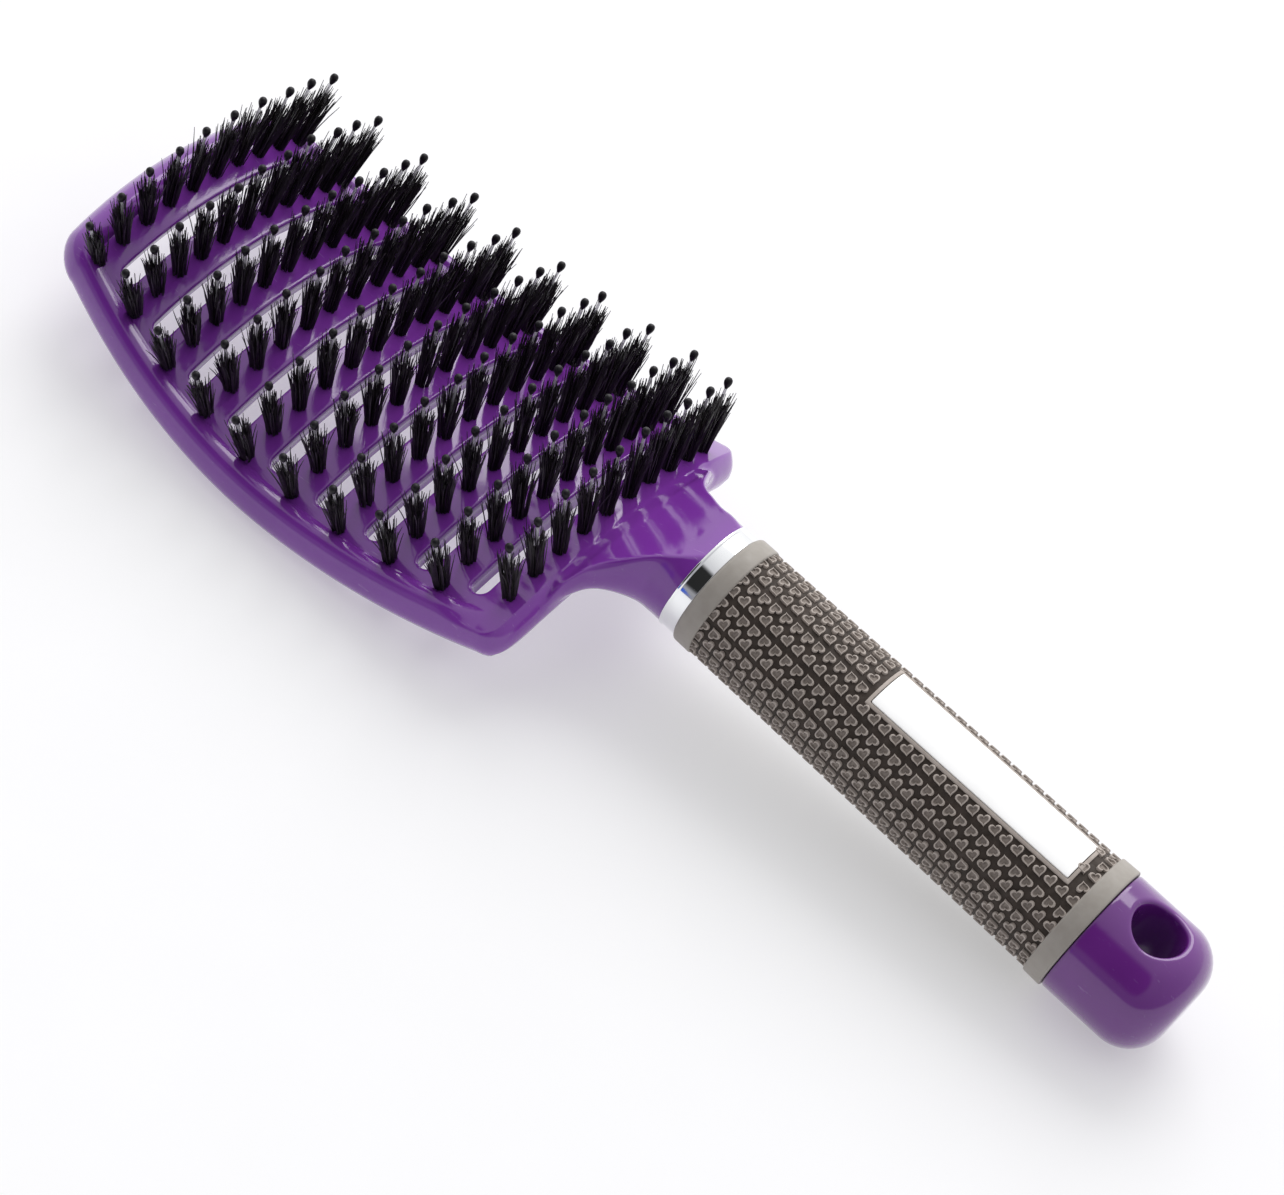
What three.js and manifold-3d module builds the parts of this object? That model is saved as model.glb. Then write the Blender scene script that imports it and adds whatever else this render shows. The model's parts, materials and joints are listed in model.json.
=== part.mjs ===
// Vented paddle brush, in millimetres, lying on its back with the bristles up.
//
// The head is drawn in its own coordinates: u along its length (towards the tip), s across its
// width (measured along the arch) and h outwards from the bristle face. headPoint() bends them
// into space: the face is arched across its width and slightly hollow along its length. The handle
// is drawn in a second frame that starts where the grip starts and runs away from the head.
// At the end the whole brush is turned and shifted so that its rails and its end cap rest on
// z = 0, with the origin at the bottom centre of its bounding box.

import * as THREE from 'three';
import Module from 'manifold-3d';
import { mergeVertices } from 'three/addons/utils/BufferGeometryUtils.js';

const wasm = await Module();
wasm.setup();

// ---------------------------------------------------------------- driving dimensions

// bristle face
const archRadius = 84;            // across the width, centre behind the head
const lengthRadius = 187;         // along the length, centre in front of the bristles
const barrel = 0.05;              // rows bow outwards: this share of u is lost at barrelWidth
const barrelWidth = 34;

// outline of the head, in u and s
const frontEdge = 60.0;
const rearEdge = -58.3;
const widestHalf = 42.6;
const widestAt = -6;
const sideRadiusFront = 196;
const sideRadiusRear = 385;

// rim and slats
const rimWidth = 6;
const slatThickness = 4.5;
const rimProfile = [              // [out from the slats, height], from the top inwards edge round
  [1.0, 0.9], [2.8, 1.2], [4.9, -0.2], [6.4, -3.2], [5.9, -6.3], [4.2, -7.6], [1.5, -7.0],
];
const frontCornerPower = 1.1;     // at 1 a corner of the head is round, below 1 it is squarer
const rearCornerPower = 0.7;
const rearRimShare = 0.75;        // the rim is narrower by this along the rear
const crestFade = 9;              // the raised crest of the rim sinks away over this length at the rear

// rows, vents and tufts
const rowCount = 10;
const rowPitch = 11.6;
const ventWidth = 3.7;
const ventToEdge = 8.6;           // end of a vent to the outline
const ventCut = 10;               // reach of the cutter above and below the face
const endRowTufts = 10;           // in the first and the last row
const otherRowTufts = 11;
const firstRowToEdge = 5.7;       // end tuft to the outline, in the first row,
const tuftToEdge = 7.2;           // in the rows between,
const lastRowToEdge = 10.4;       // and in the last row
const tuftHeight = 11.8;
const tuftRoot = 0.8;             // depth in the carrier
const tuftRootRadius = 1.35;
const tuftTipRadius = 2.0;
const tuftFollow = 0.3;           // share of the curve along the head that the tufts follow
const tuftLean = 0.027;           // radians, towards the tip, for every tuft
const tuftSplay = 1.0;            // share of the arch across the head that the tufts follow
const tuftSplayChange = 0.005;    // change of that share per millimetre towards the tip
const pinStemRadius = 0.32;
const pinBallRadius = 0.8;
const pinBallHeight = 15.25;
const pinHeight = 16.0;
const pinNeckDrop = 0.9;          // the ball starts to swell this far below its widest place
const pinBoreRadius = 0.85;
const tuftSides = 5;
const boreSides = 4;
const pinSides = 4;

// the carriers that hold the tufts and pins of one row, in a groove along the slat
const grooveWidth = 3.4;
const grooveDepth = 3.2;
const tuftCarrier = { width: 2.8, top: 0, bottom: -1.8 };
const pinCarrier = { width: 1.7, top: -2.1, bottom: -2.9 };
const carrierOverhang = 1.9;      // past the end tuft
const gap = 0.3;                  // between pieces that touch
const rowFacets = 5;              // flat stretches along a row's groove and carriers

// handle, measured along its axis from the start of the grip (negative is towards the head)
const gripStart = { x: -75.81, z: 5.79 };
const handleSlope = 0.112;        // radians down, away from the head
const gripLength = 89.9;
const gripStartRadius = 11.95;
const gripEndRadius = 13.0;
const gripSink = 0.35;            // the patterned stretch lies this far below the collars
const gripEdge = 0.3;             // chamfer of its rims
const collarLength = 4.0;
const ferruleLength = 3.6;
const ferruleRadius = 11.4;
const ferruleWall = 1.6;
const ferruleEdge = 0.35;         // chamfer of its two rims
const coreRadius = 9.0;
const coreBore = 6.6;
const tangRadius = 6.3;
const tangStart = -6;              // inside the neck
const tangLength = 32;
const capLength = 21.7;
const capCorner = 8.0;
const capPlugLength = 16;         // of the plug inside the core
const holeAt = 99.4;
const holeRadius = 5.3;
const holeRim = 0.9;              // the mouth is cut wider by this, and the cut is as deep
const holeSill = 1.6;             // the hole is at its full width this far below the cap's round
const handleSegments = 28;
const coreSegments = 20;

// label patch on the bristle side of the grip
const labelStart = 35.8;
const labelEnd = 81.7;
const labelHalfAngle = 0.42;
const labelThickness = 0.8;
const labelProud = 0.1;

// neck sections from inside the head to the ferrule: a flat ramp on top between two crests, and a
// bowl below; arched is the share of the head's arch that a section still follows
const neckSections = [
  { x: -54.0, half: 22.0, top: 7.6, middle: 4.8, bottom: 3.0, arched: 1 },
  { x: -56.4, half: 25.5, top: 8.5, middle: 4.6, bottom: 1.9, arched: 1 },
  { x: -57.6, half: 22.0, top: 8.95, middle: 4.9, bottom: 1.0, arched: 0.7 },
  { x: -59.2, half: 17.9, top: 9.5, middle: 5.4, bottom: 0.0, arched: 0.42 },
  { x: -62.0, half: 14.6, top: 10.8, middle: 6.0, bottom: -1.9, arched: 0.15 },
  { x: -66.0, half: 11.4, top: 13.1, middle: 6.2, bottom: -4.0, arched: 0 },
  { x: -69.0, half: 11.0, top: 14.7, middle: 6.2, bottom: -4.8, arched: 0 },
];
const neckEndTop = 9.9;           // the ramp above the handle axis, at the ferrule
const neckDome = 1.9;             // a section would dome this many times higher than its ramp
const neckPower = 2.3;            // squareness of a section inside the head; a circle at the ferrule is 2
const neckSides = 18;

const purple = { color: 0x6f2fa0, roughness: 0.25, metalness: 0 };
const bristleBlack = { color: 0x141216, roughness: 0.6, metalness: 0 };
const pinNylon = { color: 0x2a2430, roughness: 0.35, metalness: 0 };
const chrome = { color: 0xd9dbe0, roughness: 0.08, metalness: 1 };
const rubberTaupe = { color: 0x6e6259, roughness: 0.8, metalness: 0 };
const coreGrey = { color: 0x3a3a3e, roughness: 0.5, metalness: 0 };
const labelWhite = { color: 0xf2f2f0, roughness: 0.4, metalness: 0 };

// ---------------------------------------------------------------- solids

function toSolid(geometry) {
  const bare = geometry.clone();
  bare.deleteAttribute('normal');
  bare.deleteAttribute('uv');
  const merged = mergeVertices(bare, 1e-4);
  const mesh = new wasm.Mesh({
    numProp: 3,
    vertProperties: new Float32Array(merged.attributes.position.array),
    triVerts: new Uint32Array(merged.index.array),
  });
  return new wasm.Manifold(mesh);
}

function toGeometry(solid) {
  const mesh = solid.getMesh();
  const geometry = new THREE.BufferGeometry();
  geometry.setAttribute('position', new THREE.BufferAttribute(new Float32Array(mesh.vertProperties), 3));
  geometry.setIndex(new THREE.BufferAttribute(new Uint32Array(mesh.triVerts), 1));
  geometry.computeVertexNormals();
  return geometry;
}

function named(name, geometry, finish) {
  const mesh = new THREE.Mesh(geometry, new THREE.MeshStandardMaterial(finish));
  mesh.name = name;
  return mesh;
}

// A closed solid through a list of rings. Each ring is { outline, place }: the outline is a
// counter-clockwise list of Vector2, and place() puts one of them in space, so that the rings
// follow each other along the outline's right-handed normal.
function loft(rings) {
  const size = rings[0].outline.length;
  const positions = [];
  const index = [];
  for (const ring of rings) {
    for (const corner of ring.outline) positions.push(...ring.place(corner).toArray());
  }
  for (let r = 0; r + 1 < rings.length; r++) {
    for (let i = 0; i < size; i++) {
      const a = r * size + i;
      const b = r * size + ((i + 1) % size);
      index.push(a, b, b + size, a, b + size, a + size);
    }
  }
  const last = (rings.length - 1) * size;
  for (const [a, b, c] of THREE.ShapeUtils.triangulateShape(rings[0].outline, [])) index.push(a, c, b);
  for (const [a, b, c] of THREE.ShapeUtils.triangulateShape(rings.at(-1).outline, [])) {
    index.push(last + a, last + b, last + c);
  }
  const geometry = new THREE.BufferGeometry();
  geometry.setAttribute('position', new THREE.Float32BufferAttribute(positions, 3));
  geometry.setIndex(index);
  return geometry;
}

// A turned piece whose axis is +X, from [radius, distance along the axis] pairs.
function turned(profile, segments) {
  const geometry = new THREE.LatheGeometry(profile.map(([r, a]) => new THREE.Vector2(r, a)), segments);
  return geometry.rotateZ(-Math.PI / 2);
}

// A straight or tapered bar along +X with flat sides, from [radius, distance along the axis] pairs.
function flatSided(profile, sides) {
  const turns = spread(0, 2 * Math.PI, sides + 1).slice(0, -1);
  return loft(profile.map(([radius, a]) => ({
    outline: turns.map((turn) => new THREE.Vector2(radius * Math.cos(turn), radius * Math.sin(turn))),
    place: (corner) => new THREE.Vector3(a, corner.x, corner.y),
  })));
}

function closed(profile) {
  return [...profile, profile[0]];
}

function rectangle(left, right, bottom, top) {
  return [[left, bottom], [right, bottom], [right, top], [left, top]].map(([x, y]) => new THREE.Vector2(x, y));
}

function spread(from, to, count) {
  return Array.from({ length: count }, (_, i) => from + ((to - from) * i) / (count - 1));
}

// ---------------------------------------------------------------- head coordinates

function headPoint(u, s, h) {
  const bowed = u * (1 - barrel * (s / barrelWidth) ** 2);
  const across = s / archRadius;
  const rise = (archRadius + h) * Math.cos(across) - archRadius;
  const along = bowed / lengthRadius;
  return new THREE.Vector3(
    (lengthRadius - rise) * Math.sin(along),
    (archRadius + h) * Math.sin(across),
    lengthRadius - (lengthRadius - rise) * Math.cos(along),
  );
}

function halfWidth(u) {
  const radius = u > widestAt ? sideRadiusFront : sideRadiusRear;
  return widestHalf - (u - widestAt) ** 2 / (2 * radius);
}

function rowPlace(row) {
  return ((rowCount + 1) / 2 - row) * rowPitch;
}

// Axis of a tuft: its root on the face and the direction in which it stands.
function tuftAxis(row, s) {
  const u = rowPlace(row);
  const lean = (tuftFollow * u) / lengthRadius - tuftLean;
  const splay = ((tuftSplay + tuftSplayChange * u) * s) / archRadius;
  const direction = new THREE.Vector3(
    -Math.cos(splay) * Math.sin(lean), Math.sin(splay), Math.cos(splay) * Math.cos(lean),
  );
  return { root: headPoint(u, s, 0), direction };
}

function tuftPlaces(row) {
  const toEdge = row === 1 ? firstRowToEdge : row === rowCount ? lastRowToEdge : tuftToEdge;
  const end = halfWidth(rowPlace(row)) - toEdge;
  return spread(-end, end, row === 1 || row === rowCount ? endRowTufts : otherRowTufts);
}

// A bar along one row of the head, of the given cross-section, from -reach to reach.
function rowBar(u, reach, width, bottom, top) {
  const outline = rectangle(-width / 2, width / 2, bottom, top);
  return loft(spread(reach, -reach, rowFacets + 1).map((s) => ({
    outline,
    place: (corner) => headPoint(u + corner.x, s, corner.y),
  })));
}

// ---------------------------------------------------------------- head plate

// The edge of the slatted field, counter-clockwise, with the outward direction at each point.
function fieldEdge(field) {
  const points = [];
  const side = (u, sign) => ({ u, s: sign * field.half(u), out: [0, sign] });
  const corner = (u, sign, from, to) => {
    for (const angle of spread(from, to, 5).slice(1, -1)) {
      const [ahead, aside] = [Math.cos(angle), Math.sin(angle)];
      const power = ahead > 0 ? frontCornerPower : rearCornerPower;
      const share = ahead > 0 ? 1 : rearRimShare;
      const out = [share * Math.sign(ahead) * Math.abs(ahead) ** power, Math.sign(aside) * Math.abs(aside) ** power];
      points.push({ u, s: sign * field.half(u), out });
    }
  };
  const { front, rear } = field;
  for (const s of field.across(front)) points.push({ u: front, s, out: [1, 0] });
  corner(front, 1, 0, Math.PI / 2);
  for (const u of [...field.along].reverse()) points.push(side(u, 1));
  corner(rear, 1, Math.PI / 2, Math.PI);
  for (const s of field.across(rear).reverse()) points.push({ u: rear, s, out: [-rearRimShare, 0] });
  corner(rear, -1, Math.PI, 1.5 * Math.PI);
  for (const u of field.along) points.push(side(u, -1));
  corner(front, -1, 1.5 * Math.PI, 2 * Math.PI);
  return points;
}

function headPlate() {
  const columns = 8;
  const front = frontEdge - rimWidth;
  const rear = rearEdge + rimWidth;
  const half = (u) => halfWidth(u) - rimWidth;
  const along = spread(rear, front, 10);
  const across = (u) => spread(-half(u), half(u), columns + 1);
  const edge = fieldEdge({ front, rear, half, along, across });

  const triangles = [];
  const quad = (a, b, c, d) => triangles.push(a, b, c, a, c, d);
  for (let i = 0; i + 1 < along.length; i++) {
    const [near, far] = [across(along[i]), across(along[i + 1])];
    for (let j = 0; j < columns; j++) {
      const square = [[along[i], near[j]], [along[i + 1], far[j]], [along[i + 1], far[j + 1]], [along[i], near[j + 1]]];
      quad(...square.map(([u, s]) => headPoint(u, s, 0)));
      quad(...square.reverse().map(([u, s]) => headPoint(u, s, -slatThickness)));
    }
  }
  const ring = [[0, 0], ...rimProfile, [0, -slatThickness]];
  const rimPoint = (point, [out, h]) => {
    const lift = THREE.MathUtils.smoothstep(point.u, rear, rear + crestFade);
    return headPoint(point.u + out * point.out[0], point.s + out * point.out[1], h > 0 ? h * lift : h);
  };
  edge.forEach((point, i) => {
    const next = edge[(i + 1) % edge.length];
    for (let k = 0; k + 1 < ring.length; k++) {
      quad(rimPoint(point, ring[k]), rimPoint(point, ring[k + 1]), rimPoint(next, ring[k + 1]), rimPoint(next, ring[k]));
    }
  });

  const geometry = new THREE.BufferGeometry();
  geometry.setAttribute('position', new THREE.Float32BufferAttribute(triangles.flatMap((p) => p.toArray()), 3));
  return withoutSlivers(geometry);
}

// Merges equal points and drops the triangles that have no area because two corners are one point.
function withoutSlivers(geometry) {
  const merged = mergeVertices(geometry, 1e-4);
  const kept = [];
  for (let i = 0; i < merged.index.count; i += 3) {
    const [a, b, c] = [0, 1, 2].map((k) => merged.index.getX(i + k));
    if (a !== b && b !== c && a !== c) kept.push(a, b, c);
  }
  merged.setIndex(kept);
  return merged;
}

// A vent: a slot with round ends between two slats, cut right through.
function vent(row) {
  const u = (rowPlace(row) + rowPlace(row + 1)) / 2;
  const reach = halfWidth(u) - ventToEdge;
  const radius = ventWidth / 2;
  const ends = spread(15, 60, 2).map((degrees) => THREE.MathUtils.degToRad(degrees));
  const tips = ends.map((angle) => [reach - radius + radius * Math.cos(angle), radius * Math.sin(angle)]);
  const middle = spread(reach - radius, radius - reach, 5).map((s) => [s, radius]);
  const stations = [...tips, ...middle, ...tips.map(([s, r]) => [-s, r]).reverse()];
  return loft(stations.map(([s, r]) => ({
    outline: rectangle(-r, r, -ventCut, ventCut),
    place: (corner) => headPoint(u + corner.x, s, corner.y),
  })));
}

// ---------------------------------------------------------------- neck

const handle = new THREE.Matrix4().makeBasis(
  new THREE.Vector3(-Math.cos(handleSlope), 0, -Math.sin(handleSlope)),
  new THREE.Vector3(0, -1, 0),
  new THREE.Vector3(-Math.sin(handleSlope), 0, Math.cos(handleSlope)),
).setPosition(gripStart.x, 0, gripStart.z);

function onHandleAxis(a) {
  return new THREE.Vector3(a, 0, 0).applyMatrix4(handle);
}

// The outline of one neck section. Its shape goes from squarish to a true circle as round goes
// from 0 to 1.
function neckOutline({ half, top, middle, bottom, arched }, round) {
  const power = THREE.MathUtils.lerp(neckPower, 2, round);
  const dome = THREE.MathUtils.lerp((top - middle) * neckDome, ferruleRadius - gap, round);
  const crest = Math.asin(((top - middle) / dome) ** (power / 2));
  const bent = (value) => Math.sign(value) * Math.abs(value) ** (2 / power);
  const bowl = spread(Math.PI - crest, 2 * Math.PI + crest, neckSides + 1).map((angle) => {
    const rise = Math.sin(angle) > 0 ? dome : middle - bottom;
    return new THREE.Vector2(half * bent(Math.cos(angle)), middle + rise * bent(Math.sin(angle)));
  });
  const ramp = spread(bowl.at(-1).x, bowl[0].x, 7).slice(1, -1).map((y) => new THREE.Vector2(y, top));
  const outline = [...bowl, ...ramp];
  for (const point of outline) point.y -= (arched * point.x ** 2) / (2 * archRadius);
  return outline;
}

function neck() {
  const end = onHandleAxis(-ferruleLength - gap);
  const first = neckSections[0].x;
  const last = {
    x: end.x, half: ferruleRadius - gap, top: end.z + neckEndTop, middle: end.z,
    bottom: end.z - ferruleRadius + gap, arched: 0,
  };
  return loft([...neckSections, last].map((section) => {
    const round = THREE.MathUtils.smoothstep(-section.x, -first, -end.x);
    const lean = Math.tan(handleSlope) * round;
    return {
      outline: neckOutline(section, round),
      place: (corner) => new THREE.Vector3(section.x - lean * (corner.y - end.z), -corner.x, corner.y),
    };
  }));
}

function tang() {
  const profile = [[0, tangStart], [tangRadius, tangStart], [tangRadius, tangLength], [0, tangLength]];
  return turned(profile, coreSegments).applyMatrix4(handle);
}

function headFrame() {
  let solid = toSolid(headPlate()).add(toSolid(neck())).add(toSolid(tang()));
  for (let row = 1; row < rowCount; row++) solid = solid.subtract(toSolid(vent(row)));
  for (let row = 1; row <= rowCount; row++) {
    const reach = tuftPlaces(row).at(-1) + carrierOverhang + gap;
    solid = solid.subtract(toSolid(rowBar(rowPlace(row), reach, grooveWidth, -grooveDepth, grooveDepth)));
  }
  return toGeometry(solid);
}

// ---------------------------------------------------------------- tufts and pins

function standOn(geometry, axis) {
  const turn = new THREE.Quaternion().setFromUnitVectors(new THREE.Vector3(1, 0, 0), axis.direction);
  return geometry.applyQuaternion(turn).translate(...axis.root.toArray());
}

function carrier(row, size) {
  const reach = tuftPlaces(row).at(-1) + carrierOverhang;
  return rowBar(rowPlace(row), reach, size.width, size.bottom, size.top);
}

function bristleRow(row) {
  let solid = toSolid(carrier(row, tuftCarrier));
  const tuft = [[tuftRootRadius, -tuftRoot], [tuftTipRadius, tuftHeight]];
  const bore = [[pinBoreRadius, -grooveDepth], [pinBoreRadius, pinHeight]];
  const axes = tuftPlaces(row).map((s) => tuftAxis(row, s));
  for (const axis of axes) solid = solid.add(toSolid(standOn(flatSided(tuft, tuftSides), axis)));
  for (const axis of axes) solid = solid.subtract(toSolid(standOn(flatSided(bore, boreSides), axis)));
  return toGeometry(solid);
}

function pinRow(row) {
  let solid = toSolid(carrier(row, pinCarrier));
  const root = (pinCarrier.top + pinCarrier.bottom) / 2;
  const pin = [
    [0, root], [pinStemRadius, root], [pinStemRadius, pinBallHeight - pinNeckDrop],
    [pinBallRadius, pinBallHeight], [0, pinHeight],
  ];
  for (const s of tuftPlaces(row)) solid = solid.add(toSolid(standOn(turned(pin, pinSides), tuftAxis(row, s))));
  return toGeometry(solid);
}

// ---------------------------------------------------------------- handle, along its own axis

function gripRadius(a) {
  return THREE.MathUtils.lerp(gripStartRadius, gripEndRadius, a / gripLength);
}

function ferrule() {
  const [start, end] = [-ferruleLength, -gap];
  const inner = ferruleRadius - ferruleWall;
  return turned(closed([
    [inner, start], [ferruleRadius - ferruleEdge, start], [ferruleRadius, start + ferruleEdge],
    [ferruleRadius, end - ferruleEdge], [ferruleRadius - ferruleEdge, end], [inner, end],
  ]), handleSegments);
}

function handleCore() {
  const [start, end] = [-ferruleLength + gap, gripLength];
  return turned(closed([[coreBore, start], [coreRadius, start], [coreRadius, end], [coreBore, end]]), coreSegments);
}

// The curved block of the label patch, grown by the given clearance.
function labelBlock(clearance) {
  const angle = labelHalfAngle + clearance / gripStartRadius;
  const stations = spread(labelStart - clearance, labelEnd + clearance, 2);
  return loft(stations.map((a) => {
    const outer = gripRadius(a) - gripSink + labelProud + (clearance > 0 ? 2 : 0);
    const inner = gripRadius(a) - gripSink + labelProud - labelThickness - clearance;
    const arc = (radius, from, to) => spread(from, to, 7).map((turn) => (
      new THREE.Vector2(radius * Math.sin(turn), radius * Math.cos(turn))
    ));
    return {
      outline: [...arc(inner, -angle, angle), ...arc(outer, angle, -angle)],
      place: (corner) => new THREE.Vector3(a, corner.x, corner.y),
    };
  }));
}

function gripSleeve() {
  const inner = coreRadius + gap;
  const rearCollar = gripLength - collarLength;
  const solid = toSolid(turned(closed([
    [inner, 0], [gripRadius(0) - gripEdge, 0], [gripRadius(0), gripEdge],
    [gripRadius(collarLength), collarLength - gripEdge], [gripRadius(collarLength) - gripSink, collarLength],
    [gripRadius(rearCollar) - gripSink, rearCollar], [gripRadius(rearCollar), rearCollar + gripEdge],
    [gripRadius(gripLength), gripLength - gripEdge], [gripRadius(gripLength) - gripEdge, gripLength],
    [inner, gripLength],
  ]), handleSegments));
  return toGeometry(solid.subtract(toSolid(labelBlock(gap))));
}

function endCap() {
  const start = gripLength + gap;
  const end = gripLength + capLength;
  const corner = spread(0, Math.PI / 2, 6).map((angle) => [
    gripEndRadius - capCorner * (1 - Math.cos(angle)), end - capCorner * (1 - Math.sin(angle)),
  ]);
  const cap = toSolid(turned([
    [0, start - capPlugLength], [tangRadius, start - capPlugLength], [tangRadius, start],
    [gripEndRadius - gripEdge, start], [gripEndRadius, start + gripEdge], ...corner, [0, end],
  ], handleSegments));
  const reach = gripEndRadius + holeRim;
  const mouth = gripEndRadius - holeSill;
  const hole = new THREE.LatheGeometry([
    [0, -reach], [holeRadius + holeRim, -reach], [holeRadius + holeRim, -mouth - holeRim], [holeRadius, -mouth + holeRim],
    [holeRadius, mouth - holeRim], [holeRadius + holeRim, mouth + holeRim], [holeRadius + holeRim, reach], [0, reach],
  ].map(([r, z]) => new THREE.Vector2(r, z)), 16);
  hole.rotateX(Math.PI / 2).translate(holeAt, 0, 0);
  return toGeometry(cap.subtract(toSolid(hole)));
}

// ---------------------------------------------------------------- assembly

const brush = new THREE.Group();

brush.add(named('head_frame', headFrame(), purple));
for (let row = 1; row <= rowCount; row++) {
  const number = String(row).padStart(2, '0');
  brush.add(named(`bristle_row_${number}`, bristleRow(row), bristleBlack));
  brush.add(named(`pin_row_${number}`, pinRow(row), pinNylon));
}

const handleGroup = new THREE.Group();
handle.decompose(handleGroup.position, handleGroup.quaternion, handleGroup.scale);
handleGroup.add(named('ferrule', ferrule(), chrome));
handleGroup.add(named('handle_core', handleCore(), coreGrey));
handleGroup.add(named('grip_sleeve', gripSleeve(), rubberTaupe));
handleGroup.add(named('label_plate', toGeometry(toSolid(labelBlock(0))), labelWhite));
handleGroup.add(named('end_cap', endCap(), purple));
brush.add(handleGroup);

// Lowest vertex of a named piece, in the part's frame.
function lowest(name) {
  const mesh = brush.getObjectByName(name);
  const position = mesh.geometry.attributes.position;
  let low = new THREE.Vector3(0, 0, Infinity);
  for (let i = 0; i < position.count; i++) {
    const point = new THREE.Vector3().fromBufferAttribute(position, i).applyMatrix4(mesh.matrixWorld);
    if (point.z < low.z) low = point;
  }
  return low;
}

// Turn the brush about Y until the rails and the end cap are equally low.
for (let pass = 0; pass < 6; pass++) {
  brush.updateMatrixWorld(true);
  const rail = lowest('head_frame');
  const cap = lowest('end_cap');
  brush.rotation.y += Math.atan2(rail.z - cap.z, rail.x - cap.x);
}
brush.updateMatrixWorld(true);
const box = new THREE.Box3().setFromObject(brush, true);
brush.position.x -= (box.min.x + box.max.x) / 2;
brush.position.z -= box.min.z;

export default brush;
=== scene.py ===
import json
import math

import bmesh
import bpy
import numpy as np
from mathutils import Matrix, Vector


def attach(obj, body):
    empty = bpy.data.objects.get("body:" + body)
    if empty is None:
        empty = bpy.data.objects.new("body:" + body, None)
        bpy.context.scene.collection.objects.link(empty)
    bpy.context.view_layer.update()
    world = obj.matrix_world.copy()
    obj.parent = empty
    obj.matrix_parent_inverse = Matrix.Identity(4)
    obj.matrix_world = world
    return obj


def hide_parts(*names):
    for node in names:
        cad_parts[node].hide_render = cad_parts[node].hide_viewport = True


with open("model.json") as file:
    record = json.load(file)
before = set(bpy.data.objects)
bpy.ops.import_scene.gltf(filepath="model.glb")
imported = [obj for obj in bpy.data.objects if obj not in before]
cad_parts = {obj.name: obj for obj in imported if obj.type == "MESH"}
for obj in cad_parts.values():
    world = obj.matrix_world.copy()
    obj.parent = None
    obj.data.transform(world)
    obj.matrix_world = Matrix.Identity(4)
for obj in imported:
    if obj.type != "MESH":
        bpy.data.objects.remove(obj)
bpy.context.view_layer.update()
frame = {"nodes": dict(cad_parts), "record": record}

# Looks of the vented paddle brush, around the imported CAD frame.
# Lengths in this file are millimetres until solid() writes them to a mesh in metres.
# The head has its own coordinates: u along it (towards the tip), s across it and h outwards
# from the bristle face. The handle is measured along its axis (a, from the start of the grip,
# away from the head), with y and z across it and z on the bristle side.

MM = 0.001
WELD = 0.004            # points of a seam that are closer than this are merged
FINE_WELD = 0.002
CAP_WELD = 0.02
rng = np.random.default_rng(20)

# ---- driving dimensions

ARCH_RADIUS = 84.0
LENGTH_RADIUS = 187.0
BARREL = 0.05            # share by which the rows bend towards the head's middle at BARREL_WIDTH
BARREL_WIDTH = 34.0
FRONT_EDGE = 60.0
REAR_EDGE = -58.3
WIDEST_HALF = 42.6
WIDEST_AT = -6.0
SIDE_RADIUS_FRONT = 196.0
SIDE_RADIUS_REAR = 385.0
RIM_WIDTH = 6.0
SLAT_THICKNESS = 4.5
ROWS = 10
ROW_PITCH = 11.6
VENT_WIDTH = 3.7
VENT_TO_EDGE = 8.6
END_ROW_TUFTS = 10       # in the first and the last row
OTHER_ROW_TUFTS = 11
FIRST_ROW_TO_EDGE = 5.7  # end tuft to the outline, in the first row,
TUFT_TO_EDGE = 7.2       # in the rows between,
LAST_ROW_TO_EDGE = 10.4  # and in the last row
TUFT_FOLLOW = 0.3        # share of the curve along the head that the tufts follow
TUFT_LEAN = 0.027        # radians, towards the tip, for every tuft
TUFT_SPLAY = 1.0         # share of the arch across the head that the tufts follow
TUFT_SPLAY_CHANGE = 0.005    # change of that share per millimetre towards the tip

GRIP_START = (-75.81, 5.79)
HANDLE_SLOPE = 0.112
GRIP_LENGTH = 89.9
GRIP_START_RADIUS = 11.95
GRIP_END_RADIUS = 13.0
FERRULE_LENGTH = 3.6
FERRULE_RADIUS = 11.4
TANG_START = -6.0
TANG_RADIUS = 6.3
TANG_LENGTH = 32.0
CAP_LENGTH = 21.7
CAP_CORNER = 8.0
HOLE_AT = 99.4
HOLE_RADIUS = 5.3
LABEL_START = 35.8
LABEL_END = 81.7
LABEL_HALF_ANGLE = 0.42

# ---- places, from the frame

mounts = {mount["name"]: mount for mount in frame["record"]["mounts"]}
handle_x = np.array(mounts["cap_end"]["axis"], float)
handle_z = np.array(mounts["hang_hole"]["axis"], float)
handle_y = np.array([0.0, -1.0, 0.0])
cap_end = np.array(mounts["cap_end"]["pos_m"], float) / MM
handle_origin = cap_end - handle_x * (GRIP_LENGTH + CAP_LENGTH)

head_tilt = HANDLE_SLOPE - math.atan2(-handle_x[2], -handle_x[0])


def tilted(points):
    """Turns head coordinates about Y by the tilt at which the brush lies."""
    x, y, z = np.moveaxis(np.asarray(points, float), -1, 0)
    cos, sin = math.cos(head_tilt), math.sin(head_tilt)
    return np.stack([x * cos + z * sin, y, z * cos - x * sin], -1)


head_origin = handle_origin - tilted([GRIP_START[0], 0.0, GRIP_START[1]])


def from_head(points):
    """Straight x, y, z of the head to the part's frame."""
    return tilted(points) + head_origin


def from_handle(points):
    """Handle coordinates (a, y, z) to the part's frame."""
    points = np.asarray(points, float)
    along, across, up = points[..., :1], points[..., 1:2], points[..., 2:]
    return handle_origin + along * handle_x + across * handle_y + up * handle_z


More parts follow.
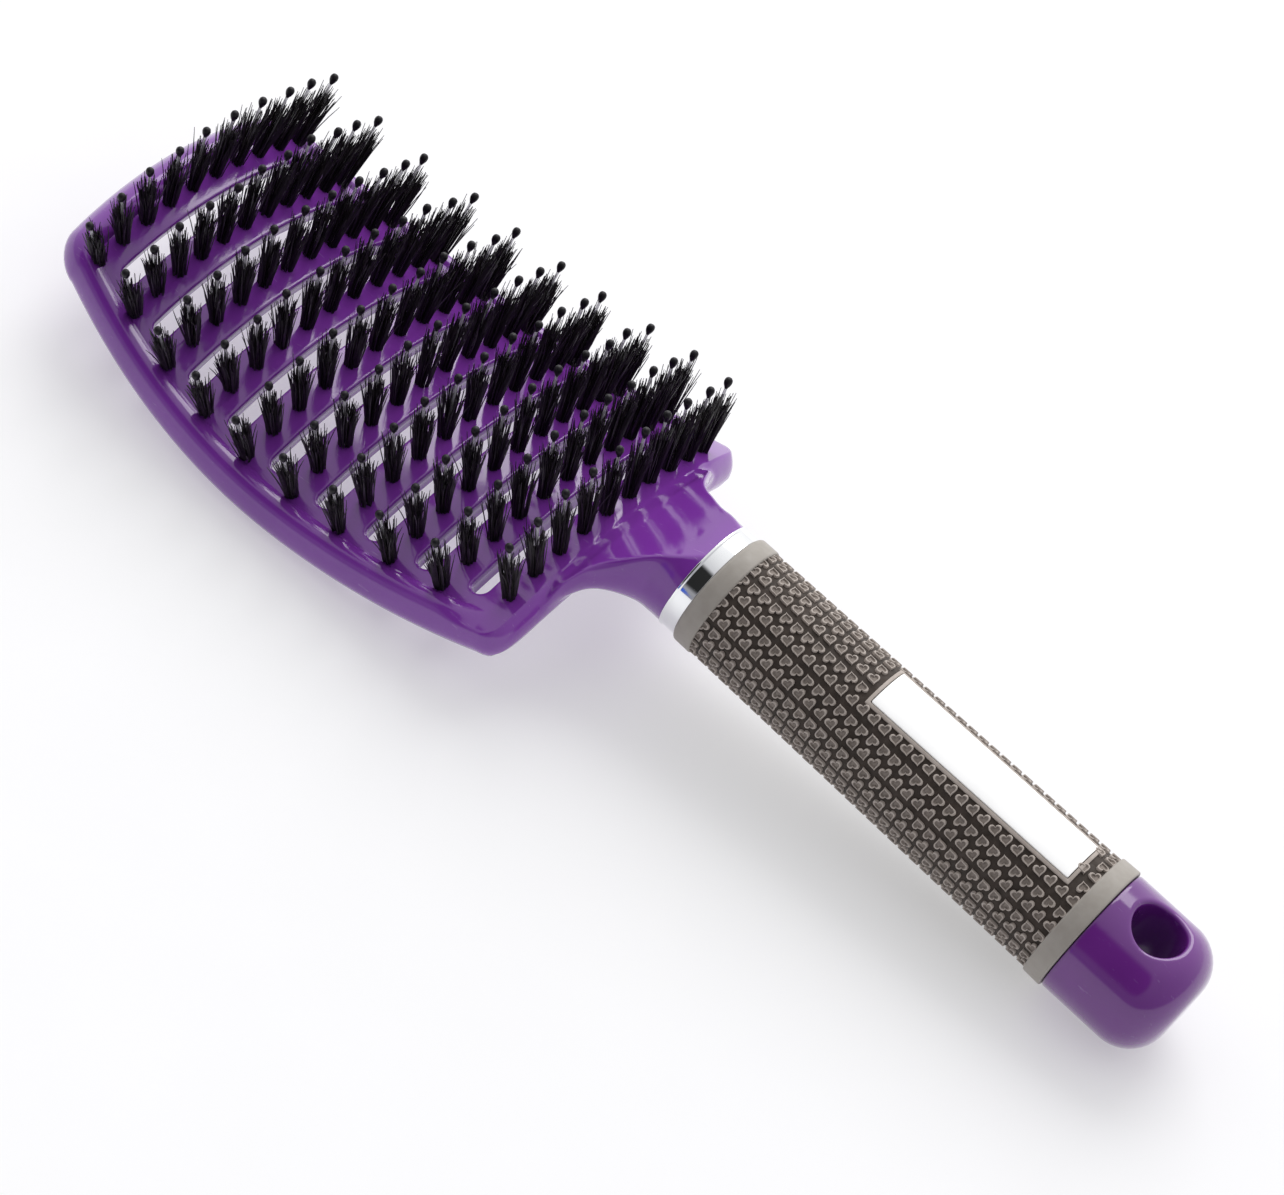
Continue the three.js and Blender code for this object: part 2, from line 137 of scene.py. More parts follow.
def head_bend(u, s, h):
    """Head coordinates to straight x, y, z, before the tilt."""
    bowed = u * (1 - BARREL * (s / BARREL_WIDTH) ** 2)
    across = s / ARCH_RADIUS
    rise = (ARCH_RADIUS + h) * np.cos(across) - ARCH_RADIUS
    along = bowed / LENGTH_RADIUS
    x = (LENGTH_RADIUS - rise) * np.sin(along)
    y = (ARCH_RADIUS + h) * np.sin(across)
    z = LENGTH_RADIUS - (LENGTH_RADIUS - rise) * np.cos(along)
    return np.stack([x, y, z], -1)


def half_width(u):
    radius = np.where(u > WIDEST_AT, SIDE_RADIUS_FRONT, SIDE_RADIUS_REAR)
    return WIDEST_HALF - (u - WIDEST_AT) ** 2 / (2 * radius)


def row_place(row):
    """The u of the middle of a row; row 1 is at the tip."""
    return ((ROWS + 1) / 2 - row) * ROW_PITCH


def grip_radius(a):
    return GRIP_START_RADIUS + (GRIP_END_RADIUS - GRIP_START_RADIUS) * a / GRIP_LENGTH


def tuft_axes(row):
    """Roots and directions of the tufts of one row, in the part's frame."""
    u = row_place(row)
    to_edge = {1: FIRST_ROW_TO_EDGE, ROWS: LAST_ROW_TO_EDGE}.get(row, TUFT_TO_EDGE)
    end = float(half_width(u)) - to_edge
    count = END_ROW_TUFTS if row in (1, ROWS) else OTHER_ROW_TUFTS
    places = np.linspace(-end, end, count)
    lean = TUFT_FOLLOW * u / LENGTH_RADIUS - TUFT_LEAN
    splay = (TUFT_SPLAY + TUFT_SPLAY_CHANGE * u) * places / ARCH_RADIUS
    along = -np.cos(splay) * math.sin(lean)
    up = np.cos(splay) * math.cos(lean)
    directions = np.stack([along, np.sin(splay), up], -1)
    return from_head(head_bend(u, places, 0.0)), tilted(directions)


# ---- mesh helpers

def solid(name, points, faces, materials, face_material=None, sharp=40.0, merge=0.0):
    """A smooth-shaded mesh object from millimetre points. Faces turn outwards."""
    mesh = bpy.data.meshes.new(name)
    mesh.from_pydata((np.asarray(points, float) * MM).tolist(), [], [list(map(int, f)) for f in faces])
    for material in materials:
        mesh.materials.append(material)
    if face_material is not None:
        mesh.polygons.foreach_set("material_index", np.asarray(face_material, np.int32))
    tidy_mesh(mesh, merge)
    piece = bpy.data.objects.new(name, mesh)
    bpy.context.scene.collection.objects.link(piece)
    smooth(mesh, sharp)
    return piece


def tidy_mesh(mesh, merge):
    """Merges points closer than `merge` millimetres and turns every face outwards."""
    work = bmesh.new()
    work.from_mesh(mesh)
    if merge:
        bmesh.ops.remove_doubles(work, verts=work.verts, dist=merge * MM)
    bmesh.ops.recalc_face_normals(work, faces=work.faces)
    work.to_mesh(mesh)
    work.free()
    mesh.update()


def smooth(mesh, sharp):
    """Smooth shading, apart from edges that bend by more than `sharp` degrees."""
    mesh.polygons.foreach_set("use_smooth", [True] * len(mesh.polygons))
    mesh.set_sharp_from_angle(angle=math.radians(sharp))
    mesh.update()


def carried(piece, slot, *nodes):
    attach(piece, "root")
    if nodes:
        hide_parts(*nodes)
    return piece


def strip_faces(rings, size):
    """Quads between successive closed rings of `size` points each."""
    faces = []
    for ring in range(rings - 1):
        for i in range(size):
            a = ring * size + i
            b = ring * size + (i + 1) % size
            faces.append((a, b, b + size, a + size))
    return faces


def lathe(profile, segments):
    """Turned surface about the handle axis from (radius, a) pairs. A profile from the axis back to
    the axis, or one that ends where it starts, makes a closed body once its points are merged."""
    profile = np.asarray(profile, float)
    turn = np.linspace(0, 2 * math.pi, segments, endpoint=False)
    rings = [np.stack([np.full(segments, a), r * np.cos(turn), r * np.sin(turn)], -1) for r, a in profile]
    points = from_handle(np.concatenate(rings))
    return points, strip_faces(len(profile), segments)


def quadratic(start, middle, end, t):
    """A point on the curve from start to end that bends towards the middle point."""
    return start * (1 - t) ** 2 + middle * 2 * t * (1 - t) + end * t ** 2


def rounded(profile, radius, steps=4):
    """Rounds every inner corner of an open (radius, a) polyline by up to the given radius."""
    profile = [np.array(p, float) for p in profile]
    out = [profile[0]]
    for before, here, after in zip(profile, profile[1:], profile[2:]):
        to_before, to_after = before - here, after - here
        reach = min(radius, np.linalg.norm(to_before) * 0.45, np.linalg.norm(to_after) * 0.45)
        start = here + to_before / np.linalg.norm(to_before) * reach
        end = here + to_after / np.linalg.norm(to_after) * reach
        for t in np.linspace(0, 1, steps + 1):
            out.append(quadratic(start, here, end, t))
    out.append(profile[-1])
    return out


def curve_through(points, steps):
    """Catmull-Rom curve through the points."""
    points = np.asarray(points, float)
    padded = np.vstack([2 * points[0] - points[1], points, 2 * points[-1] - points[-2]])
    out = []
    for k in range(1, len(padded) - 2):
        p0, p1, p2, p3 = padded[k - 1:k + 3]
        for t in np.linspace(0, 1, steps, endpoint=False):
            out.append(0.5 * (2 * p1 + (p2 - p0) * t + (2 * p0 - 5 * p1 + 4 * p2 - p3) * t ** 2
                              + (3 * p1 - p0 - 3 * p2 + p3) * t ** 3))
    out.append(points[-1])
    return np.array(out)


def smoothstep(value, low, high):
    """Rises smoothly from 0 at low to 1 at high."""
    t = np.clip((value - low) / (high - low), 0, 1)
    return t * t * (3 - 2 * t)


# ---- materials

def shader(name):
    material = bpy.data.materials.new(name)
    material.use_nodes = True
    tree = material.node_tree
    return material, tree, tree.nodes["Principled BSDF"]


def noise(tree, scale, detail=3.0, stretch=None):
    """A noise value in the object's own metres, optionally stretched along an axis."""
    coords = tree.nodes.new("ShaderNodeTexCoord")
    texture = tree.nodes.new("ShaderNodeTexNoise")
    texture.inputs["Scale"].default_value = scale
    texture.inputs["Detail"].default_value = detail
    source = coords.outputs["Object"]
    if stretch:
        mapping = tree.nodes.new("ShaderNodeMapping")
        mapping.inputs["Scale"].default_value = stretch
        tree.links.new(source, mapping.inputs["Vector"])
        source = mapping.outputs["Vector"]
    tree.links.new(source, texture.inputs["Vector"])
    return texture.outputs["Fac"]


def ramp(tree, value, stops):
    """Colours by value: stops are (position, colour)."""
    node = tree.nodes.new("ShaderNodeValToRGB")
    elements = node.color_ramp.elements
    while len(elements) < len(stops):
        elements.new(0.5)
    for element, (position, colour) in zip(elements, stops):
        element.position = position
        element.color = (*colour, 1.0)
    tree.links.new(value, node.inputs["Fac"])
    return node.outputs["Color"]


def spread(tree, value, source, target=(0.0, 1.0), kind="LINEAR"):
    """The value, mapped from one (low, high) range to another."""
    node = tree.nodes.new("ShaderNodeMapRange")
    node.interpolation_type = kind
    for side, (before, after) in zip(("Min", "Max"), zip(source, target)):
        node.inputs["From " + side].default_value = before
        node.inputs["To " + side].default_value = after
    tree.links.new(value, node.inputs["Value"])
    return node.outputs["Result"]


def span(tree, value, low, high):
    """A noise value, spread over low..high."""
    return spread(tree, value, (0.3, 0.7), (low, high))


def covered(tree, under, share, over):
    """A colour with a share of a plain colour over it."""
    mix = tree.nodes.new("ShaderNodeMix")
    mix.data_type = "RGBA"
    mix.inputs["B"].default_value = (*over, 1.0)
    tree.links.new(share, mix.inputs["Factor"])
    tree.links.new(under, mix.inputs["A"])
    return mix.outputs["Result"]


def bump(tree, bsdf, value, strength, height):
    """Bumps the surface by up to `height` millimetres."""
    node = tree.nodes.new("ShaderNodeBump")
    node.inputs["Strength"].default_value = strength
    node.inputs["Distance"].default_value = height * MM
    tree.links.new(value, node.inputs["Height"])
    tree.links.new(node.outputs["Normal"], bsdf.inputs["Normal"])


def worn(tree, colour, pale, amount):
    """Rubs thin pale scratches into a colour."""
    scratches = noise(tree, 260, 6, stretch=(1.0, 7.0, 3.0))
    return covered(tree, colour, spread(tree, scratches, (0.66, 0.74), (0.0, amount)), pale)


def mottled(name, tone, rough, grain=None, detail=3.0):
    """A material that varies over its surface. tone is (noise scale, dark, light), rough is (noise
    scale, lowest, highest) and grain, for the bump, is (noise scale, strength, height)."""
    material, tree, bsdf = shader(name)
    colour = ramp(tree, noise(tree, tone[0], detail), [(0.3, tone[1]), (0.7, tone[2])])
    tree.links.new(colour, bsdf.inputs["Base Color"])
    tree.links.new(span(tree, noise(tree, rough[0]), rough[1], rough[2]), bsdf.inputs["Roughness"])
    if grain:
        bump(tree, bsdf, noise(tree, grain[0], detail), grain[1], grain[2])
    return material, bsdf


def glowing(bsdf, strength):
    bsdf.inputs["Emission Color"].default_value = (1.0, 1.0, 1.0, 1.0)
    bsdf.inputs["Emission Strength"].default_value = strength


def gloss_purple(name, deep, light):
    """Glossy moulded plastic: cloudy colour, faint flow marks, fine scratches."""
    material, tree, bsdf = shader(name)
    cloud = ramp(tree, noise(tree, 45, 2), [(0.35, deep), (0.65, light)])
    tree.links.new(worn(tree, cloud, (0.42, 0.26, 0.55), 0.25), bsdf.inputs["Base Color"])
    tree.links.new(span(tree, noise(tree, 320, 4), 0.09, 0.16), bsdf.inputs["Roughness"])
    bump(tree, bsdf, noise(tree, 150, 2), 0.25, 0.05)
    bsdf.inputs["IOR"].default_value = 1.49
    bsdf.inputs["Coat Weight"].default_value = 0.5
    bsdf.inputs["Coat Roughness"].default_value = 0.08
    return material


def bristle_black():
    """Natural bristle: near black with brown strands, a silky streak along each strand."""
    material, tree, bsdf = shader("bristle_black")
    tone = ramp(tree, noise(tree, 1800, 2, stretch=(1, 1, 0.12)),
                [(0.35, (0.004, 0.0035, 0.004)), (0.6, (0.016, 0.012, 0.013)), (0.78, (0.05, 0.04, 0.04))])
    tree.links.new(tone, bsdf.inputs["Base Color"])
    tree.links.new(span(tree, noise(tree, 900), 0.34, 0.55), bsdf.inputs["Roughness"])
    bump(tree, bsdf, noise(tree, 6000, 2, stretch=(1, 1, 0.3)), 0.3, 0.02)
    return material


def clear_nylon():
    """Clear nylon pin stems, slightly cloudy."""
    tone = (500, (0.78, 0.76, 0.80), (0.90, 0.89, 0.93))
    material, bsdf = mottled("clear_nylon", tone, (1500, 0.12, 0.26), (2500, 0.15, 0.02))
    bsdf.inputs["Transmission Weight"].default_value = 0.55
    bsdf.inputs["IOR"].default_value = 1.5
    return material


def ball_black():
    """Dipped ball tips: dark, glossy, a little uneven."""
    tone = (700, (0.004, 0.003, 0.005), (0.010, 0.008, 0.012))
    material, bsdf = mottled("ball_black", tone, (1100, 0.3, 0.42), (1400, 0.2, 0.03))
    bsdf.inputs["Specular IOR Level"].default_value = 0.25
    return material


def mirror_chrome():
    """Polished chrome with very faint turning lines and handling haze."""
    material, tree, bsdf = shader("mirror_chrome")
    tone = ramp(tree, noise(tree, 90), [(0.3, (0.86, 0.87, 0.89)), (0.7, (0.94, 0.95, 0.96))])
    tree.links.new(tone, bsdf.inputs["Base Color"])
    tree.links.new(span(tree, noise(tree, 240, 5), 0.03, 0.09), bsdf.inputs["Roughness"])
    bump(tree, bsdf, noise(tree, 700, 2, stretch=(3, 0.2, 0.2)), 0.05, 0.01)
    bsdf.inputs["Metallic"].default_value = 1.0
    return material


def rubber(name, dark, light, low, high, grain, depth):
    """Soft-touch rubber: dry, mottled and finely grained."""
    material, bsdf = mottled(name, (420, dark, light), (800, low, high), (grain, 0.5, depth), 5.0)
    bsdf.inputs["Sheen Weight"].default_value = 0.12
    bsdf.inputs["Sheen Roughness"].default_value = 0.5
    return material


def patch_white():
    """Smooth satin white patch, faintly mottled, with a slight glow."""
    tone = (120, (0.90, 0.90, 0.89), (0.95, 0.95, 0.94))
    material, bsdf = mottled("patch_white", tone, (500, 0.28, 0.4), (900, 0.15, 0.02))
    glowing(bsdf, 0.2)
    return material


def core_plastic():
    """Plain grey moulded plastic of the hidden core."""
    tone = (200, (0.045, 0.045, 0.05), (0.06, 0.06, 0.065))
    return mottled("core_plastic", tone, (600, 0.4, 0.55), (1200, 0.3, 0.05))[0]


def pale_floor():
    """Pale seamless paper, with a glow that keeps its shadows light."""
    tone = (3, (0.55, 0.55, 0.56), (0.57, 0.57, 0.58))
    material, bsdf = mottled("pale_floor", tone, (40, 0.75, 0.85))
    glowing(bsdf, 0.4)
    return material


# ---- head

LINE_OUTER = 6          # steps beside a vent's round end, along a slat
LINE_MIDDLE = 64        # steps along a vent
SIDE_STEPS = 12         # steps across a slat and vent at the rim
CORNER_STEPS = 9
TOP_SHARES = (1.0, 0.8, 0.55, 0.3, 0.12)
VENT_FILLET = 0.45
VENT_BACK = 0.8         # a vent is wider by this all round at the back of the slats
# (out from the vent's edge, height) down the wall of a vent: a flange, a step, the lower wall
VENT_WALL = [(0.0, -1.0), (0.0, -1.55), (0.06, -1.66), (0.26, -1.7),
             (0.32, -1.8), (0.32, -3.4), (0.38, -4.1), (0.62, -4.42)]
# (out from the slatted field, height) over the crest of the rim and back under it
RIM_PROFILE = [(0, 0), (1.0, 0.9), (2.8, 1.2), (4.9, -0.2), (6.4, -3.2),
               (5.9, -6.2), (4.2, -7.35), (1.5, -6.9), (0, -SLAT_THICKNESS)]
RIM_STEPS = 5           # between two points of that profile
FRONT_CORNER_POWER = 1.1    # at 1 a corner of the head is round, below 1 it is squarer
REAR_CORNER_POWER = 0.7
REAR_RIM_SHARE = 0.75   # width of the rim along the rear, as a share of its width elsewhere
CREST_FADE = 9.0        # the raised crest of the rim sinks away over this length at the rear

front_line = FRONT_EDGE - RIM_WIDTH
rear_line = REAR_EDGE + RIM_WIDTH


def field_half(u):
    return float(half_width(u)) - RIM_WIDTH


def line_places(u):
    """The s of the mesh points along one slat, closer together beside the ends of its vents."""
    end = field_half(u)
    inner = end - (VENT_TO_EDGE - RIM_WIDTH + VENT_WIDTH / 2)
    beside = np.linspace(inner, end, LINE_OUTER + 1)[1:]
    return np.concatenate([-beside[::-1], np.linspace(-inner, inner, LINE_MIDDLE + 1), beside])


def cell_edges(vent):
    """The u of the two slat middles, or field ends, on either side of a vent."""
    high = front_line if vent == 1 else row_place(vent)
    low = rear_line if vent == ROWS - 1 else row_place(vent + 1)
    return high, low


def cell_boundary(vent):
    """Points (u, s) round a vent's cell, one way round."""
    high, low = cell_edges(vent)
    top = [(high, s) for s in line_places(high)]
    right = [(u, field_half(u)) for u in np.linspace(high, low, SIDE_STEPS + 1)[1:-1]]
    bottom = [(low, s) for s in line_places(low)[::-1]]
    left = [(u, -field_half(u)) for u in np.linspace(low, high, SIDE_STEPS + 1)[1:-1]]
    return np.array(top + right + bottom + left)


def cell(vent):
    """Rings from the cell's top edge, down through the vent and out to its bottom edge."""
    edge = cell_boundary(vent)
    middle = (row_place(vent) + row_place(vent + 1)) / 2
    radius = VENT_WIDTH / 2
    limit = float(half_width(middle)) - VENT_TO_EDGE - radius
    centre = np.stack([np.full(len(edge), middle), np.clip(edge[:, 1], -limit, limit)], -1)
    outward = edge - centre
    outward /= np.linalg.norm(outward, axis=1)[:, None]

    def at(out):
        return centre + outward * (radius + out)

    rings = []
    for share in TOP_SHARES:
        flat = at(VENT_FILLET) * (1 - share) + edge * share
        rings.append((flat, 0.0))
    for turn in np.linspace(0, math.pi / 2, 5):
        rings.append((at(VENT_FILLET * (1 - math.sin(turn))), -VENT_FILLET * (1 - math.cos(turn))))
    for out, height in VENT_WALL:
        rings.append((at(out), height))
    for share in TOP_SHARES[::-1]:
        rings.append((at(VENT_BACK) * (1 - share) + edge * share, -SLAT_THICKNESS))
    points = [head_bend(flat[:, 0], flat[:, 1], height) for flat, height in rings]
    return np.concatenate(points), strip_faces(len(rings), len(edge))


def rim_loop():
    """Points (u, s, direction out) round the slatted field, one way round, with the corners as fans."""
    loop = []

    def fan(u, s, start):
        for turn in np.linspace(start, start + math.pi / 2, CORNER_STEPS + 1):
            ahead, aside = math.cos(turn), math.sin(turn)
            power = FRONT_CORNER_POWER if ahead > 0 else REAR_CORNER_POWER
            share = 1.0 if ahead > 0 else REAR_RIM_SHARE
            loop.append((u, s, share * math.copysign(abs(ahead) ** power, ahead),
                         math.copysign(abs(aside) ** power, aside)))

    sides = []
    for vent in range(1, ROWS):
        high, low = cell_edges(vent)
        sides += list(np.linspace(high, low, SIDE_STEPS + 1)[1:])
    loop += [(front_line, s, 1.0, 0.0) for s in line_places(front_line)[:-1]]
    fan(front_line, field_half(front_line), 0.0)
    loop += [(u, field_half(u), 0.0, 1.0) for u in sides[:-1]]
    fan(rear_line, field_half(rear_line), math.pi / 2)
    loop += [(rear_line, s, -REAR_RIM_SHARE, 0.0) for s in line_places(rear_line)[::-1][1:-1]]
    fan(rear_line, -field_half(rear_line), math.pi)
    loop += [(u, -field_half(u), 0.0, -1.0) for u in sides[::-1][1:]]
    fan(front_line, -field_half(front_line), 1.5 * math.pi)
    return np.array(loop[:-1])


def rim():
    """The rim's profile swept round the slatted field."""
    loop = rim_loop()
    profile = curve_through(RIM_PROFILE, RIM_STEPS)
    lift = smoothstep(loop[:, 0], rear_line, rear_line + CREST_FADE)
    points = []
    for out, height in profile:
        raised = height * lift if height > 0 else np.full(len(loop), height)
        points.append(head_bend(loop[:, 0] + out * loop[:, 2], loop[:, 1] + out * loop[:, 3], raised))
    return np.concatenate(points), strip_faces(len(profile), len(loop))


# neck sections from inside the head to the ferrule: x, half width, top, middle height, bottom,
# share of the head's arch that the section still follows
NECK = [
    (-54.0, 22.0, 7.6, 4.8, 3.0, 1.0),
    (-56.4, 25.5, 8.5, 4.6, 1.9, 1.0),
    (-57.6, 22.0, 8.95, 4.9, 1.0, 0.7),
    (-59.2, 17.9, 9.5, 5.4, 0.0, 0.42),
    (-62.0, 14.6, 10.8, 6.0, -1.9, 0.15),
    (-66.0, 11.4, 13.1, 6.2, -4.0, 0.0),
    (-69.0, 11.0, 14.7, 6.2, -4.8, 0.0),
    (-72.2, 11.3, 16.1, 6.2, -5.1, 0.0),
]
NECK_DOME = 1.9         # a section would dome this many times higher than its ramp
NECK_POWER = 2.3        # squareness of a section at the head; the circle at the ferrule is 2
NECK_RINGS = 8          # between two sections
NECK_TOP_STEPS = 26
NECK_SIDE_STEPS = 34
CREST_ROUNDING = 0.7
TANG_SEGMENTS = 96
# the crease where the neck runs into the head is softened
JOIN_START = -55.0
JOIN_LENGTH = 6.0
JOIN_CREASE = 12.0      # degrees
JOIN_REACH = 1.8
JOIN_ROUNDS = 16
SHELL_SHARP = 32.0      # degrees


def neck_section(half, top, middle, bottom, arch, blend):
    """Outline (y, z) of one section: a flat ramp, a rounded crest on each side and a bowl below."""
    power = NECK_POWER + (2 - NECK_POWER) * blend
    dome = (top - middle) * NECK_DOME
    upper = dome + (FERRULE_RADIUS - 0.1 - dome) * blend
    turn = np.linspace(math.pi / 2, -math.pi / 2, 400)
    bowl_y = half * np.abs(np.cos(turn)) ** (2 / power)
    rise = np.where(turn > 0, upper, middle - bottom)
    bowl_z = middle + rise * np.sign(turn) * np.abs(np.sin(turn)) ** (2 / power)
    below = bowl_z < top
    crest_y = np.interp(top, bowl_z[::-1], bowl_y[::-1])
    side = np.stack([bowl_y[below], bowl_z[below]], -1)
    length = np.concatenate([[0], np.cumsum(np.linalg.norm(np.diff(side, axis=0), axis=1))])
    places = np.linspace(CREST_ROUNDING, length[-1], NECK_SIDE_STEPS)
    side = np.stack([np.interp(places, length, side[:, k]) for k in (0, 1)], -1)
    ramp_y = np.linspace(0, crest_y - CREST_ROUNDING, NECK_TOP_STEPS)
    flat = np.stack([ramp_y, np.full(NECK_TOP_STEPS, top)], -1)
    corner = np.array([crest_y, top])
    bend = [quadratic(flat[-1], corner, side[0], t) for t in (0.2, 0.4, 0.6, 0.8)]
    right = np.vstack([flat, bend, side])
    left = right[1:-1][::-1] * (-1, 1)
    outline = np.vstack([right, left])
    outline[:, 1] -= arch * outline[:, 0] ** 2 / (2 * ARCH_RADIUS)
    return outline


def neck():
    """The neck, lofted through its sections and closed at both ends."""
    stations = curve_through(NECK, NECK_RINGS)
    axis_height = GRIP_START[1] + (FERRULE_LENGTH + 0.1) * math.sin(HANDLE_SLOPE)
    rings = []
    for x, half, top, middle, bottom, arch in stations:
        blend = float(smoothstep(-x, 60.0, 72.2))
        outline = neck_section(half, top, middle, bottom, arch, blend)
        lean = math.tan(HANDLE_SLOPE) * smoothstep(-x, 56.0, 72.2)
        shift = lean * (outline[:, 1] - axis_height)
        rings.append(np.stack([x - shift, outline[:, 0], outline[:, 1]], -1))
    size = len(rings[0])
    points = np.concatenate(rings)
    faces = strip_faces(len(rings), size)
    faces.append(tuple(range(size)))
    faces.append(tuple(range(len(points) - 1, len(points) - 1 - size, -1)))
    return points, faces


def merge_parts(parts):
    points, faces, count = [], [], 0
    for part_points, part_faces in parts:
        points.append(part_points)
        faces += [tuple(i + count for i in face) for face in part_faces]
        count += len(part_points)
    return np.concatenate(points), faces


def soften_join(mesh):
    """Relaxes the mesh near the crease where the neck runs into the head."""
    work = bmesh.new()
    work.from_mesh(mesh)
    work.verts.ensure_lookup_table()
    start = float(from_head([JOIN_START, 0, 0])[0]) * MM
    seeds = np.array([tuple(v.co) for edge in work.edges if is_join(edge, start) for v in edge.verts])
    places = np.array([tuple(v.co) for v in work.verts])
    near = np.full(len(places), False)
    for chunk in np.array_split(seeds, max(1, len(seeds) // 200)):      # in chunks, to save memory
        gaps = np.linalg.norm(places[:, None, :] - chunk[None, :, :], axis=2).min(axis=1)
        near |= gaps < JOIN_REACH * MM
    chosen = [work.verts[i] for i in np.nonzero(near)[0]]
    for _ in range(JOIN_ROUNDS):
        bmesh.ops.smooth_vert(work, verts=chosen, factor=0.5,
                              use_axis_x=True, use_axis_y=True, use_axis_z=True)
    work.to_mesh(mesh)
    work.free()
    mesh.update()


def is_join(edge, start):
    """True for a creased edge in the stretch behind `start`, where the neck runs into the head."""
    if len(edge.link_faces) != 2 or not start - JOIN_LENGTH * MM <= edge.verts[0].co.x <= start:
        return False
    return edge.calc_face_angle(0) > math.radians(JOIN_CREASE)


def join_solids(base, tool):
    """The union of two pieces as one new mesh on the first piece."""
    modifier = base.modifiers.new("join", "BOOLEAN")
    modifier.operation = "UNION"
    modifier.solver = "EXACT"
    modifier.object = tool
    graph = bpy.context.evaluated_depsgraph_get()
    joined = bpy.data.meshes.new_from_object(base.evaluated_get(graph))
    joined.name = base.name
    base.modifiers.clear()
    base.data = joined
    bpy.data.objects.remove(tool)


def head_shell(plastic):
    """The slatted plate with its rim, joined to the neck and the tang."""
    plate_points, plate_faces = merge_parts([cell(vent) for vent in range(1, ROWS)] + [rim()])
    shell = solid("head_shell", from_head(plate_points), plate_faces, [plastic], merge=WELD)
    neck_points, neck_faces = neck()
    stem = solid("neck_stem", from_head(neck_points), neck_faces, [plastic])
    bar = [(0, TANG_START), (TANG_RADIUS, TANG_START), (TANG_RADIUS, TANG_LENGTH), (0, TANG_LENGTH)]
    tang = solid("neck_tang", *lathe(bar, TANG_SEGMENTS), [plastic], merge=WELD)
    join_solids(shell, stem)
    join_solids(shell, tang)
    soften_join(shell.data)
    smooth(shell.data, SHELL_SHARP)
    return carried(shell, "head_plastic", "head_frame")


# ---- bristle tufts and pins

STRANDS = 88            # in a tuft
STRAND_RINGS = 5
STRAND_SIDES = 3
STRAND_RADIUS = 0.15
STRAND_TAPER = 0.55     # share of the radius that is gone at the tip
TUFT_HEIGHT = 11.9
TUFT_SINK = 1.0         # depth of the strands' roots in the slat
TUFT_ROOT_RADIUS = 1.25
TUFT_TIP_RADIUS = 2.15
LENGTH_SPREAD = 0.95
OUTER_LOSS = 2.0        # the outermost strands are shorter by up to this
FLARE_SPREAD = 0.2      # share of the tip radius
STRAY_SHARE = 0.08      # of the strands, which lean out by STRAY_FLARE more
STRAY_FLARE = 0.9
DRIFT_SPREAD = 0.36     # of the tips, sideways
BOW_SPREAD = 0.18       # of the strands' middles, sideways


def axes_across(directions):
    """Two unit vectors across each direction."""
    across = np.cross(directions, [0.0, 1.0, 0.0])
    across /= np.linalg.norm(across, axis=-1)[..., None]
    return across, np.cross(directions, across)


def tuft_row(row, material):
    roots, directions = tuft_axes(row)
    first, second = axes_across(directions)
    count = len(roots) * STRANDS
    owner = np.repeat(np.arange(len(roots)), STRANDS)
    place = np.sqrt(rng.random(count))
    turn = rng.random(count) * 2 * math.pi
    length = TUFT_HEIGHT + rng.normal(0, LENGTH_SPREAD, count)
    length -= OUTER_LOSS * place ** 2 * rng.random(count)
    flare = TUFT_TIP_RADIUS * (1 + rng.normal(0, FLARE_SPREAD, count))
    flare += (rng.random(count) < STRAY_SHARE) * STRAY_FLARE
    drift = rng.normal(0, DRIFT_SPREAD, (count, 2))
    bow = rng.normal(0, BOW_SPREAD, (count, 2))
    rings = []
    for k in range(STRAND_RINGS):
        t = k / (STRAND_RINGS - 1)
        radius = (TUFT_ROOT_RADIUS * (1 - t ** 1.5) + flare * t ** 1.5) * place
        side = radius * np.cos(turn) + drift[:, 0] * t ** 2 + bow[:, 0] * t * (1 - t) * 4
        ahead = radius * np.sin(turn) + drift[:, 1] * t ** 2 + bow[:, 1] * t * (1 - t) * 4
        height = -TUFT_SINK + (length + TUFT_SINK) * t
        centre = (roots[owner] + first[owner] * side[:, None] + second[owner] * ahead[:, None]
                  + directions[owner] * height[:, None])
        thick = STRAND_RADIUS * (1.0 - STRAND_TAPER * t ** 3)
        for corner in range(STRAND_SIDES):
            spin = turn + corner * 2 * math.pi / STRAND_SIDES
            rings.append(centre + thick * (np.cos(spin)[:, None] * first[owner]
                                           + np.sin(spin)[:, None] * second[owner]))
    points = np.stack(rings, 1).reshape(-1, 3)
    per_strand = STRAND_RINGS * STRAND_SIDES
    faces = strip_faces(STRAND_RINGS, STRAND_SIDES)
    faces.append(tuple(range(STRAND_SIDES))[::-1])
    faces.append(tuple(range(per_strand - STRAND_SIDES, per_strand)))
    every = [tuple(i + strand * per_strand for i in face) for strand in range(count) for face in faces]
    piece = solid(f"tuft_row_{row:02d}", points, every, [material], sharp=75)
    return carried(piece, "boar_bristle", f"bristle_row_{row:02d}")


PIN_SEGMENTS = 12
PIN_LEAN_SPREAD = 0.018     # sideways, per millimetre of height
# (radius, height) from the root up the stem and over the ball
PIN_PROFILE = [(0, -2.4), (0.42, -2.4), (0.4, -1.0), (0.34, 2.0), (0.3, 8.0), (0.28, 13.2), (0.3, 13.7),
               (0.44, 14.0), (0.63, 14.35), (0.77, 14.75), (0.82, 15.15), (0.74, 15.58), (0.52, 15.86),
               (0.25, 15.97), (0, 16.0)]
BALL_FROM = 6           # the first ring step of the ball


